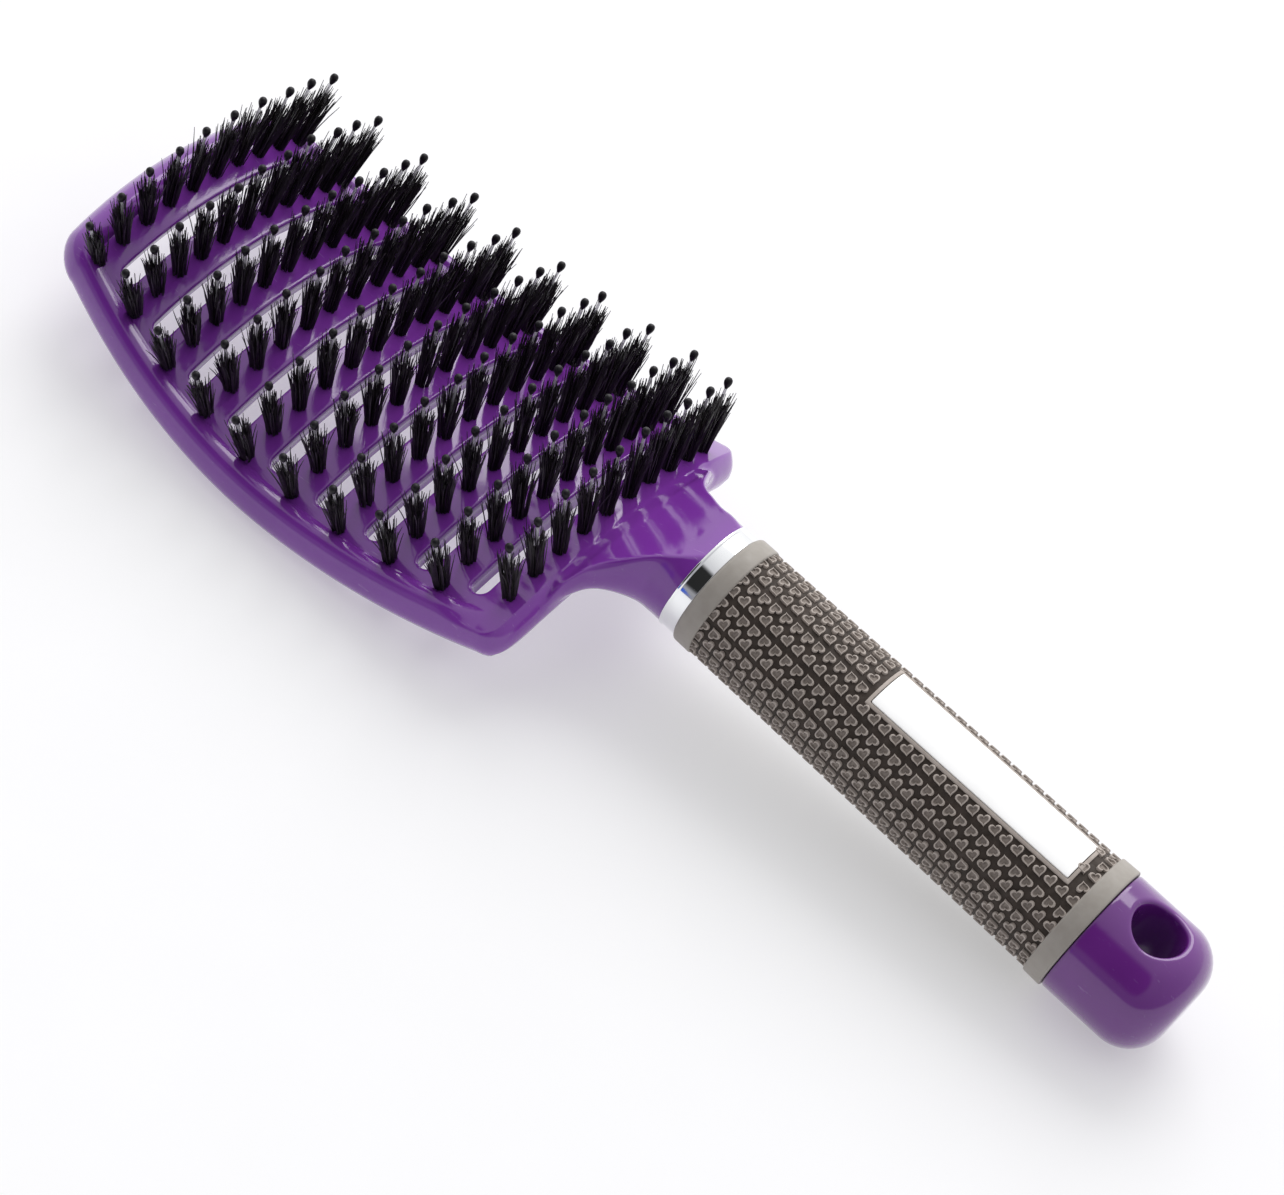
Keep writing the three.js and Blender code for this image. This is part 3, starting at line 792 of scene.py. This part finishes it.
def pin_row(row, stem, ball):
    roots, directions = tuft_axes(row)
    first, second = axes_across(directions)
    turn = np.linspace(0, 2 * math.pi, PIN_SEGMENTS, endpoint=False)
    lean = rng.normal(0, PIN_LEAN_SPREAD, (len(roots), 2))
    points, faces, owner = [], [], []
    single = strip_faces(len(PIN_PROFILE), PIN_SEGMENTS)
    size = len(PIN_PROFILE) * PIN_SEGMENTS
    for k, root in enumerate(roots):
        for radius, height in PIN_PROFILE:
            middle = root + directions[k] * height
            middle = middle + (first[k] * lean[k, 0] + second[k] * lean[k, 1]) * max(height, 0)
            ring = middle + radius * (np.cos(turn)[:, None] * first[k] + np.sin(turn)[:, None] * second[k])
            points.append(ring)
        faces += [tuple(i + k * size for i in face) for face in single]
        owner += [1 if index // PIN_SEGMENTS >= BALL_FROM else 0 for index in range(len(single))]
    points = np.concatenate(points)
    piece = solid(f"pin_set_{row:02d}", points, faces, [stem, ball], owner, merge=FINE_WELD)
    return carried(piece, "pin_nylon", f"pin_row_{row:02d}")


# ---- handle

SEGMENTS = 144
FERRULE_BORE = 9.9
FERRULE_LIP = 0.2       # the ring's edge at the neck stands out by this
FERRULE_GAP = 0.05      # between the ring and the sleeve
SLEEVE_BORE = 9.3
COLLAR_LENGTH = 4.0
COLLAR_STEP = 0.15      # length of the step down from a collar to the patterned ground
BASE_SINK = 0.75        # patterned ground below the collars
HEART_TOP = 0.5         # hearts above that ground
HEART_PITCH = 2.6       # along the grip
HEART_COLUMNS = 26      # round the grip
HEART_SHIFT = 0.12      # hearts that face each other with their tips lie closer by twice this
HEART_WIDTH = 2.45
HEART_LENGTH = 2.2
HEART_TURN = 0.7        # radians between a heart's own axis and the way round the grip
HEART_STAGGER = 0.25    # neighbouring columns are shifted along the grip by twice this
HEART_MARGIN = 0.35     # from the front collar to the first hearts
HEART_WOBBLE = 0.015
REAR_COLLAR_PROUD = 0.3
LABEL_THICKNESS = 0.5
LABEL_CORNER = 0.25
LABEL_MARGIN = 0.6      # hearts this near the patch are left out
LABEL_MARGIN_ANGLE = 0.02


def ferrule(chrome):
    start, end = -FERRULE_LENGTH, -FERRULE_GAP
    lip = FERRULE_RADIUS + FERRULE_LIP
    profile = rounded([
        (FERRULE_BORE, start), (lip, start), (lip, start + 0.4), (FERRULE_RADIUS, start + 0.6),
        (FERRULE_RADIUS, end), (FERRULE_BORE, end), (FERRULE_BORE, start),
    ], 0.12)
    points, faces = lathe(profile, SEGMENTS)
    piece = solid("ferrule_ring", points, faces, [chrome], merge=WELD)
    return carried(piece, "ferrule_chrome", "ferrule")


def grip_profile():
    """(radius, a) round the section of the sleeve."""
    front = COLLAR_LENGTH
    rear = GRIP_LENGTH - COLLAR_LENGTH
    outer = [
        (SLEEVE_BORE, 0.0), (grip_radius(0) - 0.3, 0.0), (grip_radius(0), 0.45),
        (grip_radius(front), front), (grip_radius(front) - BASE_SINK, front + COLLAR_STEP),
        (grip_radius(rear) - BASE_SINK, rear - COLLAR_STEP),
        (grip_radius(rear) + REAR_COLLAR_PROUD - 0.1, rear),
        (grip_radius(GRIP_LENGTH) + REAR_COLLAR_PROUD, GRIP_LENGTH), (SLEEVE_BORE, GRIP_LENGTH),
        (SLEEVE_BORE, 0.0),
    ]
    return rounded(outer, 0.35)


def grip_cover(ground, plain):
    """The sleeve: plain collars and bore, and a sunk ground for the hearts between the collars."""
    profile = densified(grip_profile(), 3.0)
    points, faces = lathe(profile, SEGMENTS)
    low = COLLAR_LENGTH + 0.1
    high = GRIP_LENGTH - COLLAR_LENGTH - 0.1
    outside = (SLEEVE_BORE + GRIP_START_RADIUS) / 2
    owner = []
    for here, there in zip(profile, profile[1:]):
        radius, a = (here + there) / 2
        owner += [0 if low < a < high and radius > outside else 1] * SEGMENTS
    piece = solid("grip_cover", points, faces, [ground, plain], owner, merge=WELD)
    return carried(piece, "grip_rubber", "grip_sleeve")


def densified(profile, step):
    """The polyline with added points, so that none of its pieces is much longer than the step."""
    out = [np.array(profile[0], float)]
    for here, there in zip(profile, profile[1:]):
        here, there = np.array(here, float), np.array(there, float)
        pieces = max(1, int(np.linalg.norm(there - here) / step))
        out += [here + (there - here) * (k + 1) / pieces for k in range(pieces)]
    return out


def heart_outline(count):
    """A heart two units wide, its point towards -y, as (x, y) points one way round."""
    t = np.linspace(0, 2 * math.pi, count, endpoint=False)
    x = 16 * np.sin(t) ** 3
    y = 13 * np.cos(t) - 5 * np.cos(2 * t) - 2 * np.cos(3 * t) - np.cos(4 * t)
    y = (y + 2.5) / 14.5
    return np.stack([x / 16, y], -1)


# (size, height) from the foot of a raised heart over its rim into its dished middle
HEART_RINGS = [(1.0, -0.2), (0.97, 0.36), (0.9, HEART_TOP), (0.7, HEART_TOP), (0.62, HEART_TOP - 0.14),
               (0.54, HEART_TOP - 0.3), (0.2, HEART_TOP - 0.28)]
HEART_DISH_FROM = 3     # the first ring step of the dished middle
HEART_POINTS = 22


def hearts(raised, dished):
    """The raised hearts in columns along the grip, which point one way and the other by turns. Their dished
    middles take a darker copy of the hearts' rubber, as painted shade.
    """
    outline = heart_outline(HEART_POINTS) * (HEART_WIDTH / 2, HEART_LENGTH / 2)
    lengthwise = outline[:, 0] * math.cos(HEART_TURN) - outline[:, 1] * math.sin(HEART_TURN)
    crosswise = outline[:, 0] * math.sin(HEART_TURN) + outline[:, 1] * math.cos(HEART_TURN)
    points, faces, owner = [], [], []
    # ring steps from HEART_DISH_FROM on take the darker rubber: painted shade in each heart's dished middle
    dish_shade_steps = [1 if step >= HEART_DISH_FROM else 0 for step in range(len(HEART_RINGS) - 1)]
    heart_owner = np.repeat(dish_shade_steps, HEART_POINTS).tolist() + [0, 1]
    first = COLLAR_LENGTH + HEART_MARGIN
    rows = int((GRIP_LENGTH - 2 * COLLAR_LENGTH) / HEART_PITCH) + 1
    rings = strip_faces(len(HEART_RINGS), HEART_POINTS)
    foot = tuple(range(HEART_POINTS))
    top = tuple((len(HEART_RINGS) - 1) * HEART_POINTS + i for i in range(HEART_POINTS))
    for column in range(HEART_COLUMNS):
        way = 1 if column % 2 else -1
        centre = 2 * math.pi * (column + 0.5) / HEART_COLUMNS
        for row in range(rows):
            a0 = first + row * HEART_PITCH + way * HEART_STAGGER
            if under_label(a0, centre):
                continue
            base = grip_radius(a0) - BASE_SINK
            middle = centre - way * HEART_SHIFT / base
            wobble = rng.normal(0, HEART_WOBBLE, 2)
            for scale, height in HEART_RINGS:
                along = a0 + way * lengthwise * scale + wobble[0]
                angle = middle + (way * crosswise * scale + wobble[1]) / base
                radius = base + height
                points.append(np.stack([along, radius * np.sin(angle), radius * np.cos(angle)], -1))
            count = (len(points) - len(HEART_RINGS)) * HEART_POINTS
            faces += [tuple(i + count for i in face) for face in rings]
            faces.append(tuple(i + count for i in foot)[::-1])
            faces.append(tuple(i + count for i in top))
            owner += heart_owner
    points = from_handle(np.concatenate(points))
    piece = solid("grip_hearts", points, faces, [raised, dished], owner, sharp=60)
    return carried(piece, "grip_rubber")


def under_label(a, angle):
    """True where a heart's middle is under the label patch or close to it."""
    around = abs((angle + math.pi) % (2 * math.pi) - math.pi)
    along = LABEL_START - LABEL_MARGIN < a < LABEL_END + LABEL_MARGIN
    return along and around < LABEL_HALF_ANGLE + LABEL_MARGIN_ANGLE


def rounded_rectangle(half_a, half_across, corner, steps=6):
    """(a, across) points round a rectangle with small round corners."""
    points = []
    for quarter, (sign_a, sign_c) in enumerate([(1, 1), (-1, 1), (-1, -1), (1, -1)]):
        start = quarter * math.pi / 2
        for turn in np.linspace(start, start + math.pi / 2, steps):
            points.append((sign_a * (half_a - corner) + corner * math.cos(turn),
                           sign_c * (half_across - corner) + corner * math.sin(turn)))
    return points


def on_grip(a, across, height):
    """A point on the patterned ground of the grip, `across` millimetres round from the top."""
    radius = grip_radius(a) - BASE_SINK
    angle = across / radius
    return np.stack([a, (radius + height) * np.sin(angle), (radius + height) * np.cos(angle)], -1)


def closed_loop(points, step):
    """The points and the first one again, at most about `step` apart, without the repeated end."""
    return np.array(densified(list(points) + [points[0]], step)[:-1])


# (inset from the edge, height) of the patch from its foot over its rounded edge
LABEL_EDGE = [(0.0, -0.25), (0.0, LABEL_THICKNESS - 0.12),
              (0.04, LABEL_THICKNESS - 0.03), (0.13, LABEL_THICKNESS)]
LABEL_TOP_SHARES = (0.9, 0.7, 0.45, 0.2)
LABEL_TOP_DRAW = 0.02   # share of that drawing in that also goes along the patch


def label_ring(grow, height, share=1.0):
    """A ring round the patch, `grow` millimetres outside its edge; a share below 1 draws it in across."""
    half_a = (LABEL_END - LABEL_START) / 2
    half_across = LABEL_HALF_ANGLE * GRIP_START_RADIUS
    edge = closed_loop(rounded_rectangle(half_a, half_across, LABEL_CORNER), 1.0)
    along = edge[:, 0] * (1 + grow / half_a) * (1 - (1 - share) * LABEL_TOP_DRAW)
    across = edge[:, 1] * (1 + grow / half_across) * share
    return on_grip((LABEL_START + LABEL_END) / 2 + along, across, height)


def label_patch(white):
    rings = [label_ring(-inset, height) for inset, height in LABEL_EDGE]
    rings += [label_ring(-LABEL_EDGE[-1][0], LABEL_THICKNESS, share) for share in LABEL_TOP_SHARES]
    size = len(rings[0])
    faces = strip_faces(len(rings), size)
    faces.append(tuple(range(size))[::-1])
    faces.append(tuple((len(rings) - 1) * size + i for i in range(size)))
    piece = solid("label_patch", from_handle(np.concatenate(rings)), faces, [white])
    return carried(piece, "label_white", "label_plate")


# (out from the patch's edge, height) round the section of the lip
LIP_SECTION = [(0.18, -0.2), (0.18, 0.34), (0.26, 0.42), (0.72, 0.42),
               (0.85, 0.34), (0.9, -0.2), (0.18, -0.2)]


def label_frame(rubber_light):
    """The plain raised lip of the sleeve round the patch."""
    rings = [label_ring(out, height) for out, height in LIP_SECTION]
    faces = strip_faces(len(rings), len(rings[0]))
    points = from_handle(np.concatenate(rings))
    piece = solid("label_frame", points, faces, [rubber_light], merge=FINE_WELD)
    return carried(piece, "grip_rubber")


# ---- end cap with its hang hole

CAP_SEGMENTS = 120
CAP_START = GRIP_LENGTH + 0.1
CAP_END = GRIP_LENGTH + CAP_LENGTH
CAP_RADIUS = GRIP_END_RADIUS - 0.1
HOLE_ROUNDING = 1.1
# the turned side of the cap is left open round the hole by this much along it and this many
# segments to each side of the hole's middle, and the hole's own mesh fills the opening
OPENING_BEFORE = 8.0
OPENING_AFTER = 7.4
OPENING_SEGMENTS = 15


def cap_radius(a):
    """Outer radius of the cap, with its large round corner."""
    past = np.clip((a - (CAP_END - CAP_CORNER)) / CAP_CORNER, 0, 1)
    return CAP_RADIUS - CAP_CORNER * (1 - np.sqrt(1 - past ** 2))


def cap_stations():
    """Places along the cap: before the opening, along it, and beyond it round the corner."""
    open_from, open_to = HOLE_AT - OPENING_BEFORE, HOLE_AT + OPENING_AFTER
    before = np.linspace(CAP_START + 0.5, open_from, 4)[:-1]
    inside = np.linspace(open_from, open_to, 17)
    turned = math.asin((open_to - CAP_END + CAP_CORNER) / CAP_CORNER)
    beyond = CAP_END - CAP_CORNER * (1 - np.sin(np.linspace(turned, math.pi / 2, 9)[1:]))
    return before, inside, beyond


def cap_body(before, inside, beyond):
    """The turned cap with its two openings."""
    stations = np.concatenate([before, inside, beyond])
    radii = cap_radius(stations)
    profile = [(0.0, CAP_START), (radii[0] - 3.0, CAP_START), (radii[0] - 0.5, CAP_START),
               (radii[0] - 0.15, CAP_START + 0.15)]
    first_open = len(profile) + len(before)
    last_open = first_open + len(inside) - 1
    profile += list(zip(radii, stations))
    profile += [(radii[-1] * share, CAP_END) for share in (0.75, 0.5, 0.25, 0.0)]
    turn = np.linspace(0, 2 * math.pi, CAP_SEGMENTS, endpoint=False)
    rings = [np.stack([np.full(CAP_SEGMENTS, a), r * np.sin(turn), r * np.cos(turn)], -1) for r, a in profile]
    faces = []
    for ring in range(len(profile) - 1):
        for k in range(CAP_SEGMENTS):
            near_top = k < OPENING_SEGMENTS or k >= CAP_SEGMENTS - OPENING_SEGMENTS
            near_bottom = abs(k + 0.5 - CAP_SEGMENTS / 2) < OPENING_SEGMENTS
            if first_open <= ring < last_open and (near_top or near_bottom):
                continue
            a = ring * CAP_SEGMENTS + k
            b = ring * CAP_SEGMENTS + (k + 1) % CAP_SEGMENTS
            faces.append((a, b, b + CAP_SEGMENTS, a + CAP_SEGMENTS))
    return np.concatenate(rings), faces


def opening_edge(inside):
    """Points one way round an opening, as (a from the hole's middle, y)."""
    angles = np.arange(-OPENING_SEGMENTS, OPENING_SEGMENTS + 1) * (2 * math.pi / CAP_SEGMENTS)
    edge = [(a, angles[0]) for a in inside]
    edge += [(inside[-1], angle) for angle in angles[1:-1]]
    edge += [(a, angles[-1]) for a in inside[::-1]]
    edge += [(inside[0], angle) for angle in angles[::-1][1:-1]]
    edge = np.array(edge)
    return np.stack([edge[:, 0] - HOLE_AT, cap_radius(edge[:, 0]) * np.sin(edge[:, 1])], -1)


def cap_height(plan):
    """Height of the cap's surface over points (a from the hole's middle, y)."""
    radius = cap_radius(HOLE_AT + plan[:, 0])
    return np.sqrt(np.maximum(radius ** 2 - plan[:, 1] ** 2, 0))


def hang_hole(inside):
    """The hole's mesh, from the edge of one opening over the rounded mouth and through to the other."""
    edge = opening_edge(inside)
    way = edge / np.linalg.norm(edge, axis=1)[:, None]
    mouth = way * (HOLE_RADIUS + HOLE_ROUNDING)
    wall = way * HOLE_RADIUS
    loops = []
    for share in (1.0, 0.8, 0.6, 0.4, 0.22, 0.1):
        plan = mouth * (1 - share) + edge * share
        loops.append((plan, cap_height(plan)))
    for tilt in np.linspace(0, math.pi / 2, 8):
        plan = way * (HOLE_RADIUS + HOLE_ROUNDING * (1 - math.sin(tilt)))
        sink = HOLE_ROUNDING * (1 - math.cos(tilt))
        height = cap_height(mouth) * (1 - math.sin(tilt)) + cap_height(wall) * math.sin(tilt)
        loops.append((plan, height - sink))
    for depth in (0.8, 0.55, 0.25, 0.0):
        loops.append((wall, (cap_height(wall) - HOLE_ROUNDING) * depth))
    upper = [np.stack([HOLE_AT + plan[:, 0], plan[:, 1], height], -1) for plan, height in loops]
    lower = [ring * (1, 1, -1) for ring in upper[::-1][1:]]
    return np.concatenate(upper + lower), strip_faces(len(upper) + len(lower), len(edge))


def end_cap(plastic):
    before, inside, beyond = cap_stations()
    points, faces = merge_parts([cap_body(before, inside, beyond), hang_hole(inside)])
    piece = solid("cap_shell", from_handle(points), faces, [plastic], merge=CAP_WELD)
    return carried(piece, "cap_plastic", "end_cap")


# ---- stage, light and camera

# the camera, in head coordinates
CAMERA_PLACE = (-259.0, 473.3, 514.7)
CAMERA_FORWARD = (0.2679, -0.6462, -0.7146)
CAMERA_RIGHT = (-0.7566, -0.6003, 0.2592)
CAMERA_LENS = 112.15


def camera():
    """The view from above the near side of the brush."""
    data = bpy.data.cameras.new("camera")
    data.lens = CAMERA_LENS
    data.sensor_width = 36.0
    data.clip_start = 0.01
    data.clip_end = 20.0
    eye = bpy.data.objects.new("camera", data)
    bpy.context.scene.collection.objects.link(eye)
    forward = Vector(tilted(CAMERA_FORWARD)).normalized()
    up = Vector(tilted(CAMERA_RIGHT)).cross(forward).normalized()
    eye.location = from_head(CAMERA_PLACE) * MM
    eye.rotation_mode = "QUATERNION"
    eye.rotation_quaternion = Matrix((forward.cross(up), up, -forward)).transposed().to_quaternion()
    bpy.context.scene.camera = eye


# directions, in the part's frame, from which the room is brightest and in which something dark hangs
BRIGHT_WAY = (0.30, -0.75, 0.60)
DARK_WAY = (0.13, 0.78, 0.61)
DARK_WIDTH = 24.0       # degrees from its middle to its edge
BLUE_WAY = (0.17, 0.98, 0.06)
BLUE_WIDTH = 6.0
KEY_PLACE = (0.75, -1.75, 1.95)     # metres
KEY_SIZE = (2.0, 2.0)
KEY_POWER = 40.0
ROOM_STRENGTH = 1.1
FLOOR_HALF = 3.0        # metres


def facing(tree, way):
    """How far the looked-at direction agrees with `way`, from -1 to 1."""
    coords = tree.nodes.new("ShaderNodeTexCoord")
    node = tree.nodes.new("ShaderNodeVectorMath")
    node.operation = "DOT_PRODUCT"
    node.inputs[1].default_value = Vector(way).normalized()
    tree.links.new(coords.outputs["Generated"], node.inputs[0])
    return node.outputs["Value"]


def patch_of_room(tree, sky, way, width, colour):
    """Hangs a soft-edged round patch of a colour in the room."""
    edge = (math.cos(math.radians(width * 1.2)), math.cos(math.radians(width * 0.8)))
    return covered(tree, sky, spread(tree, facing(tree, way), edge, kind="SMOOTHSTEP"), colour)


def studio():
    """A pale room, brighter on one side, with a dark and a blue patch for the chrome to mirror."""
    world = bpy.data.worlds.new("studio")
    bpy.context.scene.world = world
    world.use_nodes = True
    tree = world.node_tree
    background = tree.nodes["Background"]
    brightness = spread(tree, facing(tree, BRIGHT_WAY), (-0.8, 0.95))
    greys = [(0.0, (0.24, 0.24, 0.26)), (0.5, (0.50, 0.50, 0.52)), (1.0, (1.0, 1.0, 1.0))]
    sky = ramp(tree, brightness, greys)
    sky = patch_of_room(tree, sky, DARK_WAY, DARK_WIDTH, (0.02, 0.02, 0.02))
    sky = patch_of_room(tree, sky, BLUE_WAY, BLUE_WIDTH, (0.03, 0.10, 0.55))
    tree.links.new(sky, background.inputs["Color"])
    background.inputs["Strength"].default_value = ROOM_STRENGTH


def key_light():
    """One large soft light, aimed at the middle of the brush."""
    data = bpy.data.lights.new("key", "AREA")
    data.shape = "RECTANGLE"
    data.size, data.size_y = KEY_SIZE
    data.energy = KEY_POWER
    lamp = bpy.data.objects.new("key", data)
    bpy.context.scene.collection.objects.link(lamp)
    lamp.location = KEY_PLACE
    lamp.rotation_mode = "QUATERNION"
    lamp.rotation_quaternion = (-Vector(KEY_PLACE)).to_track_quat("-Z", "Y")


def stage():
    mesh = bpy.data.meshes.new("floor")
    corners = [(x * FLOOR_HALF, y * FLOOR_HALF, 0) for x, y in ((-1, -1), (1, -1), (1, 1), (-1, 1))]
    mesh.from_pydata(corners, [], [(0, 1, 2, 3)])
    mesh.materials.append(pale_floor())
    floor = bpy.data.objects.new("floor", mesh)
    bpy.context.scene.collection.objects.link(floor)


# ---- making

camera()
studio()
key_light()
stage()
bpy.context.scene.view_settings.view_transform = "Standard"

head_purple = gloss_purple("head_purple", (0.190, 0.032, 0.335), (0.225, 0.042, 0.385))
# the end cap gets a darker copy of the head's purple: painted shade for the cap's less lit sides
cap_purple_shaded = gloss_purple("cap_purple_shaded", (0.135, 0.018, 0.215), (0.160, 0.024, 0.250))
ground_rubber = rubber("ground_rubber", (0.030, 0.021, 0.015), (0.060, 0.043, 0.034), 0.7, 0.9, 2600, 0.12)
pattern_rubber = rubber("pattern_rubber", (0.40, 0.345, 0.305), (0.50, 0.44, 0.395), 0.55, 0.75, 1800, 0.04)
collar_rubber = rubber("collar_rubber", (0.335, 0.305, 0.270), (0.380, 0.350, 0.315), 0.5, 0.65, 1500, 0.03)
# a darker copy of the pattern rubber for the hearts' dished middles: painted shade in their hollows
dish_shade_rubber = rubber("dish_shade_rubber", (0.215, 0.180, 0.155), (0.290, 0.245, 0.215), 0.6, 0.8, 1800, 0.04)

head_shell(head_purple)
black = bristle_black()
stem_nylon = clear_nylon()
ball = ball_black()
for row in range(1, ROWS + 1):
    tuft_row(row, black)
    pin_row(row, stem_nylon, ball)
ferrule(mirror_chrome())
grip_cover(ground_rubber, collar_rubber)
hearts(pattern_rubber, dish_shade_rubber)
label_patch(patch_white())
label_frame(pattern_rubber)
end_cap(cap_purple_shaded)
core = frame["nodes"]["handle_core"]
core.data.materials.clear()
core.data.materials.append(core_plastic())

bpy.context.view_layer.update()
